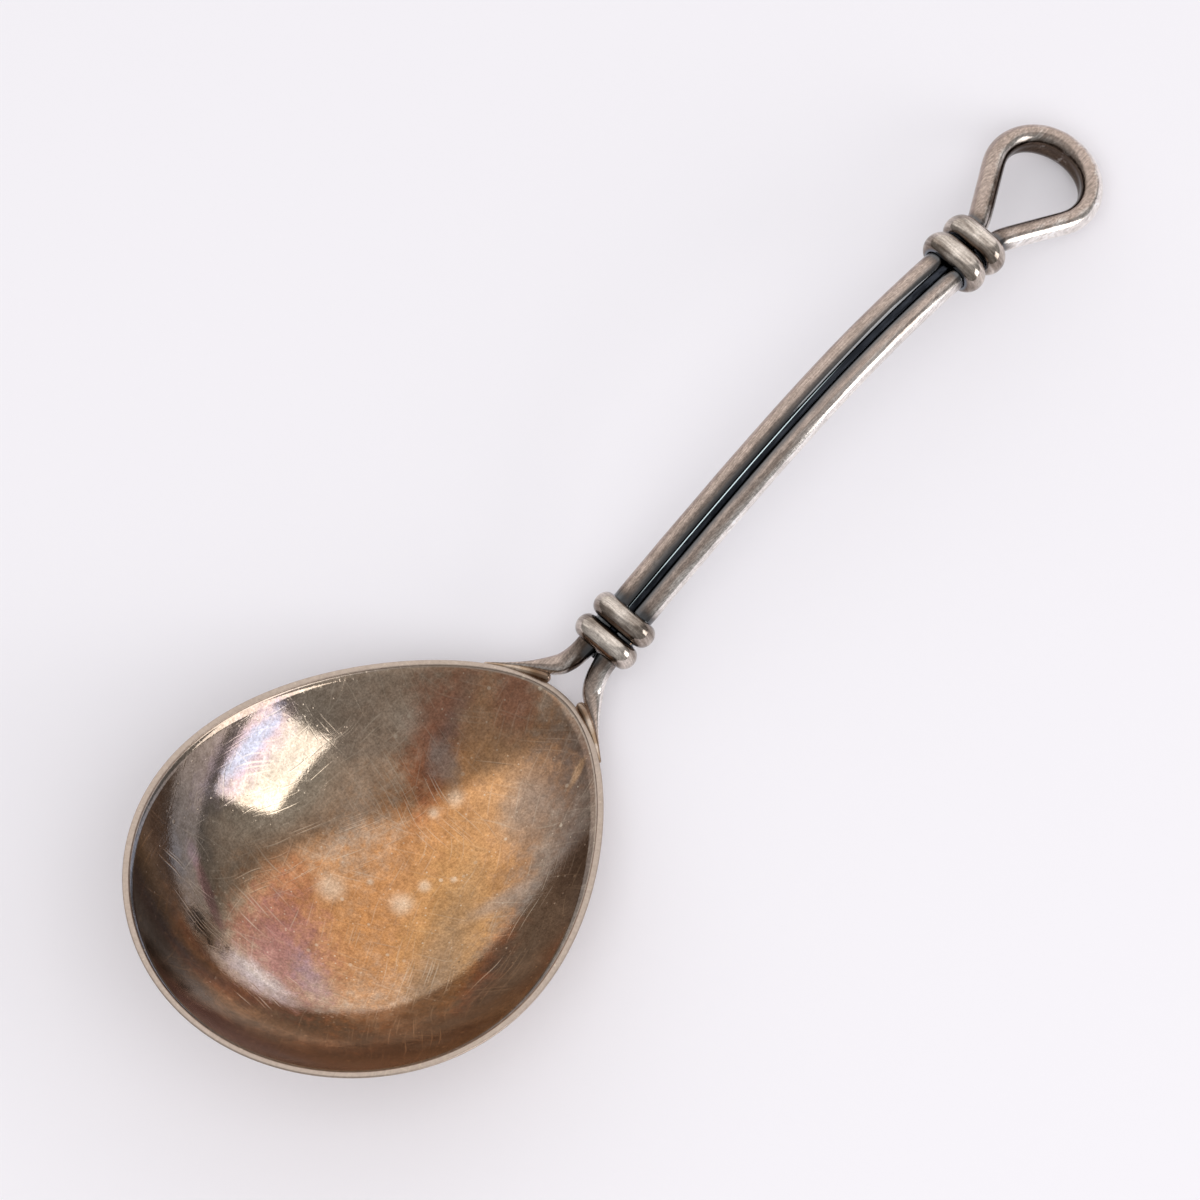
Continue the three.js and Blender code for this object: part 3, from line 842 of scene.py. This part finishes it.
@dataclass(frozen=True)
class Lie:
    """How the spoon lies on the table: its tilt towards the loop and the place of the rim's handle end."""

    tilt: float = 19.539579
    along: float = -14.123948
    up: float = 4.834444

    def on_table(self, point: Vector) -> Vector:
        """Takes a point of the spoon in millimetres to the table's frame in metres."""
        turned = Matrix.Rotation(math.radians(self.tilt), 3, "Y") @ point
        return (turned + Vector((self.along, 0, self.up))) * MM


@dataclass(frozen=True)
class BowlRing:
    """One ring of the bowl's mesh: how far out it is, how far inside the outline and how deep."""

    share: float
    inset: float
    drop: float
    wall: Wall


@dataclass
class Bowl:
    """The fig-shaped dish, in millimetres, with its rim in one plane."""

    length: float = 71.9
    middle_width: float = 53.2
    depth: float = 13.5
    deepest: float = 36.0
    sheet: float = 0.9
    rim_band: float = 0.82
    rim_round: float = 0.2
    lean: float = 0.164
    pinch: float = 0.108
    side_power: float = 2.45
    segments: int = 240
    wall_rings: int = 52
    round_steps: int = 5
    wall_end: float = 0.992
    spin_weld: float = 1e-4
    lie: Lie = Lie()

    def rim_point(self, turn: float, inset: float) -> Vector:
        """Finds a point on the rim's outline.

        Args:
            turn: Angle round the bowl, 0 at the handle.
            inset: Distance inside the outline, square to it.

        Returns:
            The point in the rim's plane.
        """
        swing = math.cos(turn)
        rise = math.sin(turn)
        full = 1 - self.lean * swing - self.pinch * swing ** 2
        point = Vector((-self.length / 2 * (1 - swing), self.middle_width / 2 * rise * full, 0))
        growth = (self.lean + 2 * self.pinch * swing) * rise
        along = Vector((-self.length / 2 * rise, self.middle_width / 2 * (swing * full + rise * growth), 0))
        along.normalize()
        return point + Vector((-along.y, along.x, 0)) * inset

    def rings(self) -> list[BowlRing]:
        """Lists the rings from the middle of the inside, over the rim, to the middle of the outside."""
        shares = [self.wall_end * i / self.wall_rings for i in range(self.wall_rings + 1)]
        inside = [BowlRing(s, self.rim_band, self.depth * (1 - s ** self.side_power), Wall.INSIDE)
                  for s in shares]
        deep = self.depth + self.sheet
        outside = [BowlRing(s, 0, deep * (1 - s ** self.side_power), Wall.OUTSIDE) for s in reversed(shares)]
        angles = [math.pi / 2 * i / self.round_steps for i in range(self.round_steps + 1)]
        turned = [(self.rim_round * (1 - math.cos(angle)), self.rim_round * (1 - math.sin(angle)))
                  for angle in angles]
        rim = [BowlRing(1, self.rim_band - across, down, Wall.RIM) for across, down in turned]
        rim += [BowlRing(1, across, down, Wall.RIM) for down, across in turned]
        return inside + rim + outside

    def build(self) -> bpy.types.Object:
        """Spins the rings' profile, draws it out to the fig shape and lays it on the table."""
        rings = self.rings()
        bm = bmesh.new()
        verts = [bm.verts.new((ring.share, 0, i)) for i, ring in enumerate(rings)]
        edges = [bm.edges.new(pair) for pair in zip(verts, verts[1:])]
        bmesh.ops.spin(bm, geom=[*verts, *edges], cent=(0, 0, 0), axis=(0, 0, 1), angle=math.tau,
                       steps=self.segments, use_merge=True)
        bmesh.ops.remove_doubles(bm, verts=bm.verts, dist=self.spin_weld)
        deepest = Vector((-self.deepest, 0, 0))
        layers = {wall: bm.verts.layers.float.new(wall.value) for wall in Wall}
        outness = bm.verts.layers.float.new("outness")
        for vert in bm.verts:
            ring = rings[round(vert.co.z)]
            edge = self.rim_point(math.atan2(vert.co.y, vert.co.x), ring.inset)
            point = deepest.lerp(edge, ring.share)
            point.z = -ring.drop
            vert.co = self.lie.on_table(point)
            vert.co.z = max(vert.co.z, 0)
            vert[layers[ring.wall]] = 1.0
            vert[outness] = ring.share
        bmesh.ops.recalc_face_normals(bm, faces=bm.faces)
        return make_piece("raised_bowl", bm, 0)

    def dress(self, piece: bpy.types.Object) -> None:
        """Gives the bowl its tarnish, painted shade and painted glint."""
        hand_over(piece, "bowl", BowlSilver().make())


@dataclass
class Handle:
    """The hairpin wire with the solder in its groove and on its legs."""

    crease: float = 50.0
    smoothing: int = 2
    dent_height: float = 0.02
    dent_size: float = 4.0
    leg_end: float = -8.6
    leg_smoothing: int = 3
    leg_ease: float = 0.5
    lump_swell: tuple[float, float, float] = (0.5, -19.0, -14.5)
    hollows: tuple[tuple[float, float, float], ...] = ((73.0, 0.6, 9.0), (-11.5, 0.0, 5.5))

    def build(self) -> dict[str, bpy.types.Object]:
        """Smooths the wire and the solder.

        Returns:
            The pieces by the CAD nodes that they stand for.
        """
        names = {"handle_wire": "hairpin_wire", "stem_solder": "groove_fill",
                 "left_leg_solder": "left_leg_lump", "right_leg_solder": "right_leg_lump"}
        pieces = {}
        for node, name in names.items():
            bm = merged_copy(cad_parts[node], NO_CREASE if "leg" in node else self.crease)
            legs = [vert for vert in bm.verts if vert.co.x < self.leg_end * MM]
            for _ in range(self.leg_smoothing):
                bmesh.ops.smooth_vert(bm, verts=legs, factor=self.leg_ease, use_axis_x=True, use_axis_y=True,
                                      use_axis_z=True)
            pieces[node] = make_piece(name, bm, self.smoothing)
        dent(pieces["handle_wire"], self.dent_height, self.dent_size)
        for node in ("left_leg_solder", "right_leg_solder"):
            swell(pieces[node], *self.lump_swell)
        return pieces

    def dress(self, pieces: dict[str, bpy.types.Object]) -> None:
        """Gives wire and solder their finishes.

        Args:
            pieces: What build returned.
        """
        rings = ring_nodes()
        blackened = [name for name in rings if name != "lower_ring_bowl_side"]
        mark_distance(pieces["handle_wire"], "joint_distance", ["stem_solder", *blackened])
        mark_distance(pieces["handle_wire"], "ring_distance", rings)
        # Painted shade, with tarnish, on faces that look into the loop's eye and between the legs.
        mark_facing_hollow(pieces["handle_wire"], self.hollows)
        # The draw plate leaves long fine lines, which draw out the wire's gleam along it.
        wire = HandledSilver(
            name="drawn_silver_wire", bright="#f6efe9", dull_and_top_shade="#b3a196", joint="#24262b", glint="#cba373",
            halo="#57493f", halo_edge=(2.6, 0.2), joint_edge=(1.3, 0.2), streak=(9, 0.18),
            rub_and_highlight_edge=(FAR, 2 * FAR), top_shade=0.9, dull_and_shade_edge=(0.75, 1.33), roughness=(0.1, 0.24))
        # Solder that ran down the groove is a smooth black band with one thin painted highlight line along
        # it.
        groove = Solder(
            name="oxidised_groove_solder", deep="#202227", pale="#3a3d44", roughness=(0.1, 0.26), lump=0.03,
            flow=(12.0, 0.7), stains_and_highlights=(("#e8fbff", 1.0, Stain((17, 0.33), (17, 0.09), 0, 0.35, 0.2)),))
        # Solder that froze at the legs has soft lumps, and the torch left it brown.
        leg = Solder(
            name="fire_stained_solder", deep="#a38a72", pale="#d9c9bb", roughness=(0.14, 0.3), lump=0.15,
            flow=(3.0, 3.0), stains_and_highlights=(("#6b4f3a", 0.8, Stain((-14.4, 3.6), (1.6, 1.3), 0, 0.6, 0.6)),
                                     ("#6b4f3a", 0.7, Stain((-14.4, -3.6), (1.4, 1.1), 0, 0.6, 0.6))))
        hand_over(pieces["handle_wire"], "handle_wire", wire.make())
        hand_over(pieces["stem_solder"], "stem_solder", groove.make())
        lump = leg.make()
        hand_over(pieces["left_leg_solder"], "left_leg_solder", lump)
        hand_over(pieces["right_leg_solder"], "right_leg_solder", lump)


@dataclass
class Collars:
    """The two pairs of half-round binding rings."""

    crease: float = 50.0
    smoothing: int = 3
    dent_height: float = 0.025
    dent_size: float = 2.5

    def build(self) -> dict[str, bpy.types.Object]:
        """Smooths the rings.

        Returns:
            The pieces by the CAD nodes that they stand for.
        """
        pieces = {}
        for node in ring_nodes():
            bm = merged_copy(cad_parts[node], self.crease)
            pieces[node] = make_piece("half_round_" + node, bm, self.smoothing)
            dent(pieces[node], self.dent_height, self.dent_size)
        return pieces

    def dress(self, pieces: dict[str, bpy.types.Object]) -> None:
        """Gives the rings their finish.

        Args:
            pieces: What build returned.
        """
        # Half-round wire bent to a ring is rubbed bright on its crown, a lighter colour that is also a
        # painted highlight line, with fine lines round the ring.
        silver = HandledSilver(
            name="half_round_silver", bright="#e8dcd1", dull_and_top_shade="#827469", joint="#4a535e", glint="#a9bccb",
            halo="#57473b", halo_edge=(1.65, 0.2), joint_edge=(0.62, 0.15), streak=(0.25, 2.0),
            rub_and_highlight_edge=(1.3, 1.9), top_shade=0.0, dull_and_shade_edge=(0.3, 0.7), roughness=(0.05, 0.19)).make()
        for node, piece in pieces.items():
            neighbours = [name for name in pieces if name != node] + ["handle_wire"]
            mark_distance(piece, "joint_distance", neighbours)
            mark_distance(piece, "ring_distance", neighbours)
            hand_over(piece, node, silver)


def towards(turn: float, height: float) -> Vector:
    """Gives the direction at this angle from +X about the upright and this height above the table."""
    flat = math.cos(math.radians(height))
    return Vector((flat * math.cos(math.radians(turn)), flat * math.sin(math.radians(turn)),
                   math.sin(math.radians(height))))


@dataclass(frozen=True)
class Lamp:
    """A square soft light: where it hangs, seen from the bowl, its distance and side in metres, its light."""

    name: str
    turn: float
    height: float
    away: float
    side: float
    radiance: float
    mirrored: bool = True

    def hang(self) -> None:
        """Hangs the lamp so that it faces the bowl."""
        light = bpy.data.lights.new(self.name, "AREA")
        light.shape = "SQUARE"
        light.size = self.side
        light.energy = self.radiance * math.pi * self.side ** 2
        lamp = bpy.data.objects.new(self.name, light)
        bpy.context.scene.collection.objects.link(lamp)
        way_in = towards(self.turn, self.height)
        lamp.location = LAMP_TARGET + way_in * self.away
        lamp.rotation_mode = "QUATERNION"
        lamp.rotation_quaternion = (-way_in).to_track_quat("-Z", "Y")
        lamp.visible_camera = False
        lamp.visible_glossy = self.mirrored


@dataclass
class Studio:
    """A pale table, a bright wall behind it, a dimmer ceiling, soft lamps and the camera above."""

    table_reach: float = 6.0
    dome: float = 0.7
    wall: float = 1.15
    ceiling: float = 0.52
    room: float = 0.36
    wall_turn: float = 43.0
    wall_height: float = 35.0
    wall_edge: tuple[float, float] = (0.46, 0.7)
    ceiling_edge: tuple[float, float] = (0.35, 0.9)
    lamps: tuple[Lamp, ...] = (
        Lamp("square_soft_light", -64.5, 17.8, 1.0, 0.47, 2.75),
        Lamp("fill_light", -138, 64, 1.8, 1.6, 1.35, mirrored=False),
    )
    view_turn: float = -48.0
    view_height: float = 71.0
    view_away: float = 6.0
    scale: float = 8.17
    origin_at: tuple[float, float] = (640.3, 624.6)

    def lay_table(self) -> None:
        """Lays the pale table under the spoon."""
        bm = bmesh.new()
        bmesh.ops.create_grid(bm, x_segments=1, y_segments=1, size=self.table_reach)
        table = make_piece("table", bm, 0)
        table.data.materials.append(Paper().make())

    def light_room(self) -> None:
        """Lights the table with an even dome and lamps, and shows the silver a wall and a dimmer ceiling."""
        world = bpy.data.worlds.new("studio")
        world.use_nodes = True
        bpy.context.scene.world = world
        tree = world.node_tree
        way = add(tree, "TexCoord").outputs["Generated"]
        facing = add(tree, "VectorMath", {0: way, 1: towards(self.wall_turn, self.wall_height)},
                     operation="DOT_PRODUCT")
        wall = add(tree, "MapRange", {"Value": facing.outputs["Value"], **span("From", self.wall_edge)},
                   **SOFT)
        height = add(tree, "SeparateXYZ", {0: way}).outputs["Z"]
        above = add(tree, "MapRange", {"Value": height, **span("From", self.ceiling_edge),
                                       **span("To", (self.room, self.ceiling))}, **SOFT)
        glow = add(tree, "Mix", {0: wall.outputs[0], 2: above.outputs[0], 3: self.wall}, data_type="FLOAT")
        path = add(tree, "LightPath")
        seen = add(tree, "Mix", {0: path.outputs["Is Glossy Ray"], 2: self.dome, 3: glow.outputs[0]},
                   data_type="FLOAT")
        white = add(tree, "Mix", {0: path.outputs["Is Camera Ray"], 2: seen.outputs[0], 3: 1.0},
                    data_type="FLOAT")
        tree.links.new(white.outputs[0], tree.nodes["Background"].inputs["Strength"])
        tree.nodes["Background"].inputs["Color"].default_value = (1, 1, 1, 1)
        for lamp in self.lamps:
            lamp.hang()

    def place_camera(self) -> None:
        """Puts the camera where the photograph was taken from."""
        turn, height = math.radians(self.view_turn), math.radians(self.view_height)
        flat = math.cos(height)
        back = Vector((math.sin(turn) * flat, -math.cos(turn) * flat, math.sin(height)))
        right = Vector((math.cos(turn), math.sin(turn), 0))
        up = back.cross(right)
        across = (PHOTO_SIDE / 2 - self.origin_at[0]) / self.scale * MM
        upward = (self.origin_at[1] - PHOTO_SIDE / 2) / self.scale * MM
        data = bpy.data.cameras.new("camera")
        data.sensor_width = 36.0
        data.lens = data.sensor_width * self.view_away / (PHOTO_SIDE / self.scale * MM)
        data.clip_start = 0.01
        camera = bpy.data.objects.new("camera", data)
        camera.matrix_world = Matrix.Translation(back * self.view_away + right * across + up * upward) @ (
            Matrix((right, up, back)).transposed().to_4x4())
        bpy.context.scene.collection.objects.link(camera)
        bpy.context.scene.camera = camera

    def set_up(self) -> None:
        """Sets up table, light and camera."""
        self.lay_table()
        self.light_room()
        self.place_camera()
        bpy.context.scene.view_settings.view_transform = "Standard"


def main() -> None:
    """Builds and dresses the spoon, then sets up the studio."""
    logging.basicConfig(level=logging.INFO, format="%(name)s: %(message)s")
    bowl = Bowl()
    bowl.dress(bowl.build())
    handle = Handle()
    handle.dress(handle.build())
    collars = Collars()
    collars.dress(collars.build())
    Studio().set_up()


if __name__ == "__main__":
    main()
